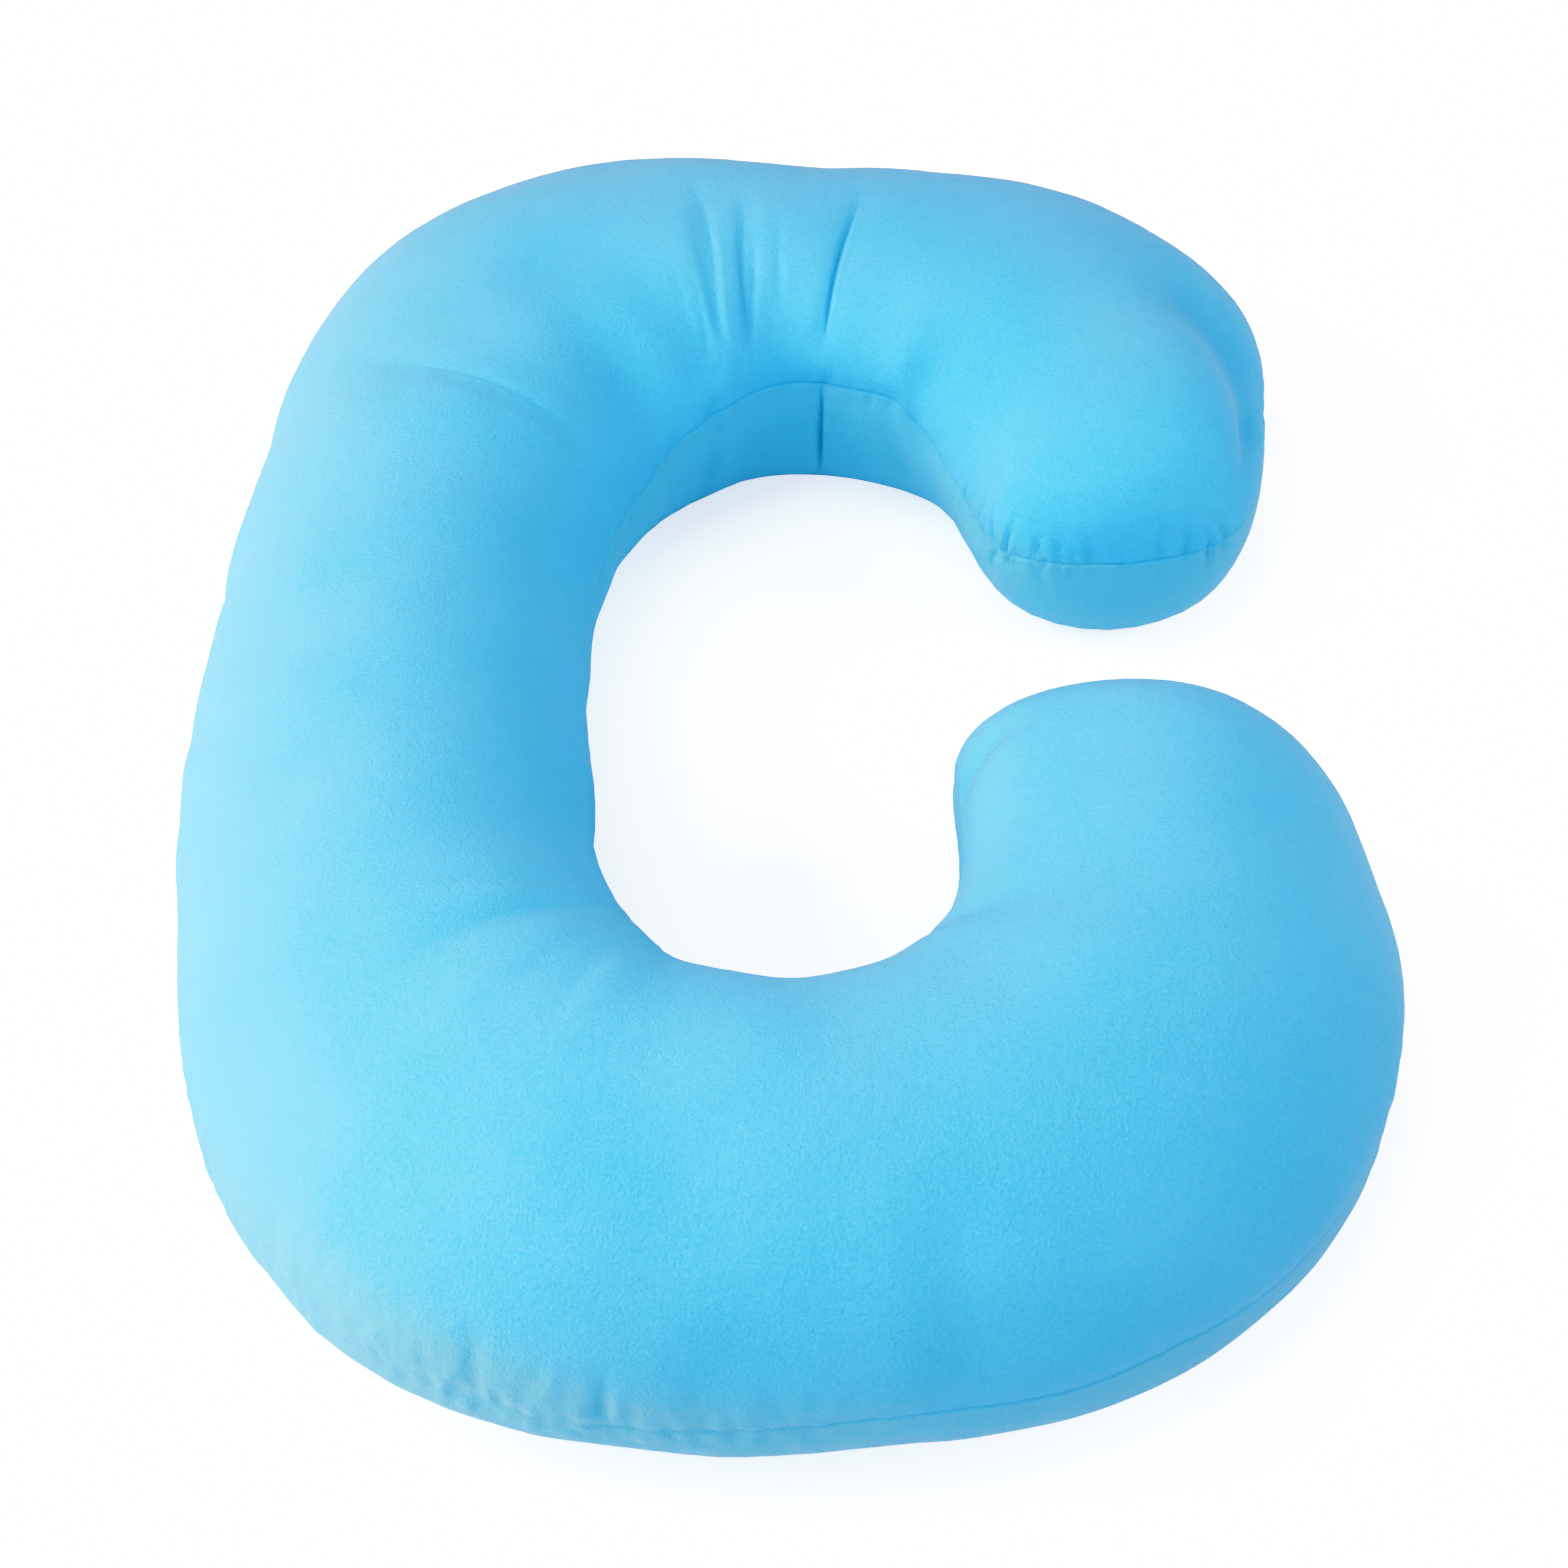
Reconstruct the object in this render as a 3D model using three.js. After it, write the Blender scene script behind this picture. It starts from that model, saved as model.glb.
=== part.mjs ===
// A C-shaped pregnancy pillow: a top panel and a bottom panel of short-pile knit, sewn together all
// round the edge and filled firmly. It is soft and has no moving parts, so it is one solid.
//
// Lengths are millimetres, with +Z up. The origin is on the surface the pillow rests on, below the
// middle of the pillow. +Y runs along its longest side, away from the person who looks at it, and
// the mouth of the C faces +X.
import * as THREE from 'three';

const BLUE = '#5ccbf2';

// The arm is followed from the tip of its far head, round the far side, the left side and the near
// side, to the tip of its near head. Each row is one section of the arm:
//   x, y       where the middle of the arm is
//   outer      distance from there to the seam on the outer side of the C
//   inner      distance from there to the seam on the inner side
//   height     height of the crown above the surface
//   seamOut    height of the seam on the outer side
//   seamIn     height of the seam on the inner side
const SECTIONS = [
  { at: 'far tip',      x: 269,  y: 143,  outer: 133, inner: 125, height: 215, seamOut: 130, seamIn: 105 },
  { at: 'far head',     x: 270,  y: 236,  outer: 115, inner: 111, height: 225, seamOut: 150, seamIn: 90 },
  { at: 'far corner',   x: 236,  y: 378,  outer: 195, inner: 146, height: 240, seamOut: 140, seamIn: 148 },
  { at: 'far right',    x: 140,  y: 456,  outer: 163, inner: 157, height: 245, seamOut: 120, seamIn: 158 },
  { at: 'far middle',   x: -10,  y: 475,  outer: 140, inner: 132, height: 245, seamOut: 120, seamIn: 152 },
  { at: 'far left',     x: -138, y: 442,  outer: 249, inner: 172, height: 245, seamOut: 120, seamIn: 160 },
  { at: 'back corner',  x: -250, y: 325,  outer: 195, inner: 148, height: 235, seamOut: 115, seamIn: 130 },
  { at: 'left upper',   x: -298, y: 130,  outer: 130, inner: 141, height: 235, seamOut: 115, seamIn: 115 },
  { at: 'left middle',  x: -290, y: -56,  outer: 158, inner: 143, height: 235, seamOut: 115, seamIn: 115 },
  { at: 'left lower',   x: -281, y: -230, outer: 141, inner: 147, height: 235, seamOut: 115, seamIn: 115 },
  { at: 'near corner',  x: -195, y: -400, outer: 199, inner: 154, height: 235, seamOut: 95,  seamIn: 115 },
  { at: 'near left',    x: -68,  y: -455, outer: 144, inner: 142, height: 235, seamOut: 78,  seamIn: 115 },
  { at: 'near middle',  x: 60,   y: -452, outer: 156, inner: 153, height: 235, seamOut: 108, seamIn: 115 },
  { at: 'near right',   x: 177,  y: -408, outer: 187, inner: 155, height: 235, seamOut: 130, seamIn: 115 },
  { at: 'right lower',  x: 255,  y: -310, outer: 165, inner: 167, height: 235, seamOut: 120, seamIn: 115 },
  { at: 'near head',    x: 256,  y: -162, outer: 156, inner: 119, height: 230, seamOut: 115, seamIn: 110 },
  { at: 'near tip',     x: 272,  y: -53,  outer: 138, inner: 169, height: 225, seamOut: 112, seamIn: 105 },
];

// How far back from its tip each head is still rounding: on its outer side, on its inner side, and
// over its crown. A higher fullness makes the head blunter.
const HEADS = {
  far: { outer: 125, inner: 101, crown: 115, fullness: 2.4 },
  near: { outer: 227, inner: 94, crown: 125, fullness: 3.3 },
};

// The folds and dents that show from a step away. A fold runs straight between two places, each
// given as a section number, with its fraction, and an angle round the arm: 0 at the outer seam,
// 90 on the crown, 180 at the inner seam. width is its half width and depth how far it is pressed
// in. A negative depth stands out as a ridge.
const FOLDS = [
  { at: 'crown, strong crease',    from: [3.51, 92], to: [3.66, 156], width: 20, depth: 8 },
  { at: 'crown, first fold',       from: [4.2, 115], to: [4.38, 152], width: 14, depth: 4 },
  { at: 'crown, second fold',      from: [4.22, 97], to: [4.4, 148], width: 15, depth: 5 },
  { at: 'crown, third fold',       from: [4.47, 88], to: [4.79, 143], width: 16, depth: 6 },
  { at: 'crown, wide hollow',      from: [5.35, 88], to: [5.1, 150], width: 55, depth: 4.5 },
  { at: 'back corner, valley',     from: [5.64, 94], to: [5.82, 138], width: 32, depth: 3.5 },
  { at: 'inner wall, crease',      from: [3.67, 181], to: [3.71, 238], width: 14, depth: 9 },
  { at: 'inner wall, right',       from: [2.44, 182], to: [2.27, 204], width: 60, depth: 3 },
  { at: 'inner wall, left',        from: [5.2, 178], to: [5.15, 214], width: 24, depth: 4 },
  { at: 'back corner, crease',     from: [6.42, 74], to: [6.5, 138], width: 17, depth: 2 },
  { at: 'left side, notch',        from: [7.33, -12], to: [7.33, 28], width: 18, depth: 3 },
  { at: 'left side, slant',        from: [8.05, 18], to: [8.3, 40], width: 18, depth: 2 },
  { at: 'near corner, valley',     from: [9.66, 96], to: [9.7, 142], width: 22, depth: 4 },
  { at: 'near corner, ridge',      from: [9.98, 88], to: [9.82, 132], width: 22, depth: -2.4 },
  { at: 'near corner, hollow',     from: [10.3, 108], to: [10.12, 148], width: 20, depth: 2.4 },
  { at: 'near edge, gather 1',     from: [9.94, 3], to: [9.96, 26], width: 14, depth: 2 },
  { at: 'near edge, gather 2',     from: [10.14, 3], to: [10.12, 20], width: 13, depth: 1.8 },
  { at: 'near edge, gather 3',     from: [10.57, 2], to: [10.55, 28], width: 15, depth: 2.4 },
  { at: 'near edge, gather 4',     from: [10.98, -6], to: [10.95, 20], width: 13, depth: 2.6 },
  { at: 'near edge, gather 5',     from: [11.25, 0], to: [11.23, 20], width: 14, depth: 1.6 },
  { at: 'near side, soft fold',    from: [12.08, 8], to: [12.1, 50], width: 24, depth: 2.5 },
  { at: 'near head, inner tuck',   from: [15.28, 166], to: [15.46, 138], width: 15, depth: 6 },
  { at: 'far head, dent',          from: [1.58, 50], to: [0.92, 26], width: 44, depth: 13 },
  { at: 'far head, outer tuck',    from: [1.2, 14], to: [0.6, 28], width: 18, depth: 5 },
  { at: 'far head, inner tuck',    from: [0.75, 180], to: [0.6, 205], width: 13, depth: 4 },
];

// A fold has a low rise along both its sides, which this share sets.
const FOLD_SHOULDER = 0.5;

// The filling is never quite even. Each row is a slow wave over the surface: how many times it comes
// round along the arm and round the section, where it starts, and how high it stands.
const UNEVENNESS = [
  { along: 7, round: 1, start: 0.4, rise: 1.5 },
  { along: 11, round: 2, start: 2.1, rise: 1.1 },
  { along: 17, round: 3, start: 4.3, rise: 0.7 },
];

// The seam is drawn in along the middle of each side.
const SEAM_DEPTH = 3.5;
const SEAM_REACH_DEG = 6;

// The section is an oval that is a little fuller below the seam and is pressed flat where it rests.
const UNDERSIDE_FULLNESS = 0.85;
const UNDERSIDE_PRESS = 1.13;

// Folds fade out below the seam, between these two shares of the way down to the underside's middle.
const FOLDS_FADE_FROM = 0.35;
const FOLDS_GONE_AT = 0.75;

// Angles of the points round one section, from the outer seam up over the crown to the inner seam,
// and back below. They are closer together near the seams.
const CROWN_STEPS = [5, 11, 18, 26, 35, 45, 56, 68, 79];
const UNDERSIDE_STEPS = [5, 12, 21, 31, 42, 55, 70];

// Spacing of the sections along the arm where it is plain, how much closer they come at a fold, and
// how many round off each head.
const PLAIN_SPACING = 26;
const CLOSER_AT_FOLDS = 1.5;
const FOLD_SPREAD = 26;
const HEAD_RINGS = 11;

// How finely the middle line is sampled, and how far apart, in sections, its heading is read.
const SPINE_SAMPLES = 1600;
const HEADING_STEP = 0.01;
const RADIANS = Math.PI / 180;

// A smooth curve that blends each four rows in turn; place runs from 0 to the last row's number.
function blendRows(rows, key, place) {
  const last = rows.length - 1;
  const value = (i) => {
    if (i < 0) return 2 * rows[0][key] - rows[1][key];
    if (i > last) return 2 * rows[last][key] - rows[last - 1][key];
    return rows[i][key];
  };
  const i = Math.min(Math.floor(place), last - 1);
  const f = place - i;
  const before = (1 - f) ** 3;
  const first = 3 * f ** 3 - 6 * f ** 2 + 4;
  const second = -3 * f ** 3 + 3 * f ** 2 + 3 * f + 1;
  const after = f ** 3;
  return (before * value(i - 1) + first * value(i) + second * value(i + 1) + after * value(i + 2)) / 6;
}

// The middle line of the arm, with the distance travelled along it at each sample.
function sampleSpine() {
  const samples = [];
  let travelled = 0;
  for (let k = 0; k <= SPINE_SAMPLES; k += 1) {
    const place = ((SECTIONS.length - 1) * k) / SPINE_SAMPLES;
    const x = blendRows(SECTIONS, 'x', place);
    const y = blendRows(SECTIONS, 'y', place);
    if (k > 0) travelled += Math.hypot(x - samples[k - 1].x, y - samples[k - 1].y);
    samples.push({ place, x, y, travelled });
  }
  return samples;
}

const SPINE = sampleSpine();
const SPINE_LENGTH = SPINE[SPINE_SAMPLES].travelled;

// The section number reached after a given distance along the arm.
function placeAt(distance) {
  let low = 0;
  let high = SPINE_SAMPLES;
  while (high - low > 1) {
    const middle = Math.floor((low + high) / 2);
    if (SPINE[middle].travelled <= distance) low = middle;
    else high = middle;
  }
  const a = SPINE[low];
  const b = SPINE[high];
  const share = (distance - a.travelled) / (b.travelled - a.travelled);
  return a.place + share * (b.place - a.place);
}

// The distance along the arm at a given section number.
function distanceAt(place) {
  const k = (place * SPINE_SAMPLES) / (SECTIONS.length - 1);
  const low = Math.min(Math.floor(k), SPINE_SAMPLES - 1);
  const a = SPINE[low];
  const b = SPINE[low + 1];
  return a.travelled + (k - low) * (b.travelled - a.travelled);
}

const FOLD_LINES = FOLDS.map((fold) => ({
  ...fold,
  start: { along: distanceAt(fold.from[0]), angle: fold.from[1] },
  end: { along: distanceAt(fold.to[0]), angle: fold.to[1] },
}));

// How far a head has opened to its full size at a distance from its tip: 0 at the tip, 1 beyond.
function opened(fromTip, roundingLength, fullness) {
  const short = Math.max(0, 1 - fromTip / roundingLength);
  return (1 - short ** fullness) ** (1 / fullness);
}

function openedAt(distance, side) {
  const far = opened(distance, HEADS.far[side], HEADS.far.fullness);
  const near = opened(SPINE_LENGTH - distance, HEADS.near[side], HEADS.near.fullness);
  return far * near;
}

// Everything that is the same for all points of one section.
function sectionAt(distance) {
  const place = placeAt(distance);
  const get = (key) => blendRows(SECTIONS, key, place);
  const ahead = Math.min(place + HEADING_STEP, SECTIONS.length - 1);
  const behind = Math.max(place - HEADING_STEP, 0);
  const dx = blendRows(SECTIONS, 'x', ahead) - blendRows(SECTIONS, 'x', behind);
  const dy = blendRows(SECTIONS, 'y', ahead) - blendRows(SECTIONS, 'y', behind);
  const length = Math.hypot(dx, dy);
  return {
    distance,
    x: get('x'),
    y: get('y'),
    outwardX: dy / length,
    outwardY: -dx / length,
    outer: get('outer') * openedAt(distance, 'outer'),
    inner: get('inner') * openedAt(distance, 'inner'),
    crown: openedAt(distance, 'crown'),
    height: get('height'),
    seamMiddle: (get('seamOut') + get('seamIn')) / 2,
    seamTilt: (get('seamOut') - get('seamIn')) / 2,
  };
}

// How deep the surface is pressed in at one point by all folds together.
function foldDepth(distance, angle, girth) {
  let depth = 0;
  for (const fold of FOLD_LINES) {
    const alongStep = fold.end.along - fold.start.along;
    const roundStep = (fold.end.angle - fold.start.angle) * RADIANS * girth;
    const along = distance - fold.start.along;
    const round = (angle - fold.start.angle) * RADIANS * girth;
    const share = (along * alongStep + round * roundStep) / (alongStep ** 2 + roundStep ** 2);
    const onFold = Math.min(1, Math.max(0, share));
    const away = Math.hypot(along - onFold * alongStep, round - onFold * roundStep) / fold.width;
    depth += fold.depth * (1 - FOLD_SHOULDER * away ** 2) * Math.exp(-(away ** 2));
  }
  return depth;
}

function unevenness(distance, angle) {
  let rise = 0;
  for (const wave of UNEVENNESS) {
    const along = (2 * Math.PI * wave.along * distance) / SPINE_LENGTH;
    rise += wave.rise * Math.sin(along + wave.round * angle * RADIANS + wave.start);
  }
  return rise;
}

// One point of the skin. The angle is 0 at the outer seam, 90 on the crown, 180 at the inner seam,
// and negative or over 180 on the underside.
function skinPoint(section, angle) {
  const across = Math.cos(angle * RADIANS);
  const up = Math.sin(angle * RADIANS);
  const half = across > 0 ? section.outer : section.inner;
  const seam = section.seamMiddle + section.seamTilt * across * section.crown;
  let sideways = half * across;
  let z = seam;
  if (up >= 0) z += (section.height - section.seamMiddle) * up * section.crown;
  else z -= seam * UNDERSIDE_PRESS * (-up) ** UNDERSIDE_FULLNESS * section.crown;

  const fromSeam = Math.min(Math.abs(angle), Math.abs(angle - 180), Math.abs(angle - 360));
  const groove = SEAM_DEPTH * Math.exp(-((fromSeam / SEAM_REACH_DEG) ** 2));
  const signedAngle = angle > 270 ? angle - 360 : angle;
  const folded = foldDepth(section.distance, signedAngle, half);
  const faded = (-up - FOLDS_FADE_FROM) / (FOLDS_GONE_AT - FOLDS_FADE_FROM);
  const shown = 1 - Math.min(1, Math.max(0, faded));
  const inward = (groove + (folded - unevenness(section.distance, angle)) * shown) * section.crown;
  sideways -= inward * across;
  z -= inward * up;
  return [
    section.x + section.outwardX * sideways,
    section.y + section.outwardY * sideways,
    Math.max(0, z),
  ];
}

function sectionAngles() {
  const crownSide = [0, ...CROWN_STEPS, 90, ...CROWN_STEPS.map((a) => 180 - a).reverse(), 180];
  const underside = [...UNDERSIDE_STEPS.map((a) => 180 + a), 270];
  return [...crownSide, ...underside, ...UNDERSIDE_STEPS.map((a) => 360 - a).reverse()];
}

// Distances of the sections: rounding off each head, and in between closer together at the folds.
function sectionDistances() {
  const farRounding = Math.max(HEADS.far.outer, HEADS.far.inner, HEADS.far.crown);
  const nearRounding = Math.max(HEADS.near.outer, HEADS.near.inner, HEADS.near.crown);
  const farSide = [];
  const nearSide = [];
  for (let k = 1; k <= HEAD_RINGS; k += 1) {
    const share = 1 - Math.cos((90 * k * RADIANS) / HEAD_RINGS);
    farSide.push(farRounding * share);
    nearSide.push(SPINE_LENGTH - nearRounding * share);
  }
  const closeness = (distance) => {
    let sum = 1;
    for (const fold of FOLD_LINES) {
      const away = (distance - (fold.start.along + fold.end.along) / 2) / FOLD_SPREAD;
      sum = Math.max(sum, 1 + CLOSER_AT_FOLDS * Math.exp(-(away ** 2)));
    }
    return sum;
  };
  const last = SPINE_LENGTH - nearRounding;
  let total = 0;
  for (let distance = farRounding; distance < last; distance += 1) total += closeness(distance);
  const count = Math.round(total / PLAIN_SPACING);
  const between = [];
  let sum = 0;
  for (let distance = farRounding; distance < last; distance += 1) {
    sum += closeness(distance);
    if (sum > (total * (between.length + 1)) / count && between.length < count - 1) {
      between.push(distance);
    }
  }
  return [...farSide, ...between, ...nearSide.reverse()];
}

// The closed skin: a ring of points for each section, and one point at the tip of each head.
function pillowGeometry() {
  const angles = sectionAngles();
  const distances = sectionDistances();
  const points = [];
  const addTip = (distance) => {
    const tip = sectionAt(distance);
    points.push([tip.x, tip.y, tip.seamMiddle]);
  };
  addTip(0);
  for (const distance of distances) {
    const section = sectionAt(distance);
    for (const angle of angles) points.push(skinPoint(section, angle));
  }
  addTip(SPINE_LENGTH);

  const faces = [];
  const number = (ring, j) => 1 + ring * angles.length + (j % angles.length);
  const apart = (a, b) => Math.hypot(
    points[a][0] - points[b][0],
    points[a][1] - points[b][1],
    points[a][2] - points[b][2],
  );
  const lastTip = points.length - 1;
  for (let j = 0; j < angles.length; j += 1) {
    faces.push(0, number(0, j), number(0, j + 1));
    const lastRing = distances.length - 1;
    faces.push(number(lastRing, j), lastTip, number(lastRing, j + 1));
    for (let ring = 0; ring < lastRing; ring += 1) {
      const a = number(ring, j);
      const b = number(ring + 1, j);
      const c = number(ring + 1, j + 1);
      const d = number(ring, j + 1);
      if (apart(a, c) < apart(b, d)) faces.push(a, b, c, a, c, d);
      else faces.push(a, b, d, b, c, d);
    }
  }

  const geometry = new THREE.BufferGeometry();
  geometry.setAttribute('position', new THREE.Float32BufferAttribute(points.flat(), 3));
  geometry.setIndex(faces);
  geometry.computeBoundingBox();
  const middle = geometry.boundingBox.getCenter(new THREE.Vector3());
  geometry.translate(-middle.x, -middle.y, 0);
  geometry.computeVertexNormals();
  return geometry;
}

const pillow = new THREE.Mesh(
  pillowGeometry(),
  new THREE.MeshStandardMaterial({ color: BLUE, roughness: 0.95, metalness: 0 }),
);
pillow.name = 'pillow';

const group = new THREE.Group();
group.name = 'pregnancy_pillow';
group.add(pillow);

export default group;
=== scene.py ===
# Looks of the pregnancy pillow: one filled, sewn cushion of short-pile velour knit, on a pale floor.
#
# The pillow is built as a fine skin over the sections of its solid. Two inner widths at the near
# corner are a few millimetres off the solid's, for a rounder bend. A cloth simulation presses the
# skin from inside for the way the filling pushes it, and folds, the sewn seam and its gathers are
# worked in on top. Tables are in millimetres, in the frame of the solid, and objects in metres.
import math

import bpy
import numpy as np
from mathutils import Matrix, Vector, kdtree


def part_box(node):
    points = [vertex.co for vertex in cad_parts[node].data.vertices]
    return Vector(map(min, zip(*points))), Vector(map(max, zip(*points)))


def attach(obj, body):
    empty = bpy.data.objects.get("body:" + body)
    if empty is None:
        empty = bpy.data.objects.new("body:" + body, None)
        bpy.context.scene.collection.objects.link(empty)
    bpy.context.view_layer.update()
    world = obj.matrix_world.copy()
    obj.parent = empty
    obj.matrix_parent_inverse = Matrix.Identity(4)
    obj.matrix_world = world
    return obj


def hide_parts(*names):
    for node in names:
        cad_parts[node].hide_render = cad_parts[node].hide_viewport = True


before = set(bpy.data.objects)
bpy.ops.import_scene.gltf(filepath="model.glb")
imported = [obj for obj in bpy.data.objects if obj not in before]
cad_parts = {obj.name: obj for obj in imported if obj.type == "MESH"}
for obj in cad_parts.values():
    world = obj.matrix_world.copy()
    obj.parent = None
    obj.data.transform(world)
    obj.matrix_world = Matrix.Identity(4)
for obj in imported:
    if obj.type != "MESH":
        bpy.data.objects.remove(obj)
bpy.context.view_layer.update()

MM = 0.001
PHOTO_SIDE = 1568

# The camera stands at the near side and looks down at the pillow, as the photograph does.
CAMERA_AT = (0.0098, -1.3566, 1.450)
CAMERA_PITCH_DOWN = 47
FOCAL_PIXELS = 2500
SENSOR_WIDTH = 36

camera_data = bpy.data.cameras.new("photo_camera")
camera_data.sensor_width = SENSOR_WIDTH
camera_data.lens = SENSOR_WIDTH * FOCAL_PIXELS / PHOTO_SIDE
camera = bpy.data.objects.new("photo_camera", camera_data)
camera.location = CAMERA_AT
camera.rotation_euler = (math.radians(90 - CAMERA_PITCH_DOWN), 0, 0)
bpy.context.scene.collection.objects.link(camera)
bpy.context.scene.camera = camera

# The skin's sections.
# The arm is followed from the tip of its far head, round the far side, the left side and the near
# side, to the tip of its near head. x and y are the middle of the arm, outer and inner the distances
# from there to the seam on each side, height the crown's, seam_out and seam_in the seam's.
SECTIONS = [
    dict(at="far tip", x=269, y=143, outer=133, inner=125, height=215, seam_out=130, seam_in=105),
    dict(at="far head", x=270, y=236, outer=115, inner=111, height=225, seam_out=150, seam_in=90),
    dict(at="far corner", x=236, y=378, outer=195, inner=146, height=240, seam_out=140, seam_in=148),
    dict(at="far right", x=140, y=456, outer=163, inner=157, height=245, seam_out=120, seam_in=158),
    dict(at="far middle", x=-10, y=475, outer=140, inner=132, height=245, seam_out=120, seam_in=152),
    dict(at="far left", x=-138, y=442, outer=249, inner=172, height=245, seam_out=120, seam_in=160),
    dict(at="back corner", x=-250, y=325, outer=195, inner=148, height=235, seam_out=115, seam_in=130),
    dict(at="left upper", x=-298, y=130, outer=130, inner=141, height=235, seam_out=115, seam_in=115),
    dict(at="left middle", x=-290, y=-56, outer=158, inner=143, height=235, seam_out=115, seam_in=115),
    dict(at="left lower", x=-281, y=-230, outer=141, inner=147, height=235, seam_out=115, seam_in=115),
    dict(at="near corner", x=-195, y=-400, outer=199, inner=151, height=235, seam_out=95, seam_in=115),
    dict(at="near left", x=-68, y=-455, outer=144, inner=146, height=235, seam_out=78, seam_in=115),
    dict(at="near middle", x=60, y=-452, outer=156, inner=153, height=235, seam_out=108, seam_in=115),
    dict(at="near right", x=177, y=-408, outer=187, inner=155, height=235, seam_out=130, seam_in=115),
    dict(at="right lower", x=255, y=-310, outer=165, inner=167, height=235, seam_out=120, seam_in=115),
    dict(at="near head", x=256, y=-162, outer=156, inner=119, height=230, seam_out=115, seam_in=110),
    dict(at="near tip", x=272, y=-53, outer=138, inner=169, height=225, seam_out=112, seam_in=105),
]

# How far back from its tip each head is still rounding, on its outer side, inner side and crown.
HEADS = {
    "far": dict(outer=125, inner=101, crown=115, fullness=2.4),
    "near": dict(outer=227, inner=94, crown=125, fullness=3.3),
}

SEAM_DEPTH = 1.8
SEAM_REACH_DEG = 5
UNDERSIDE_FULLNESS = 0.85
UNDERSIDE_PRESS = 1.13
FOLDS_FADE_FROM = 0.35
FOLDS_GONE_AT = 0.75

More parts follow.
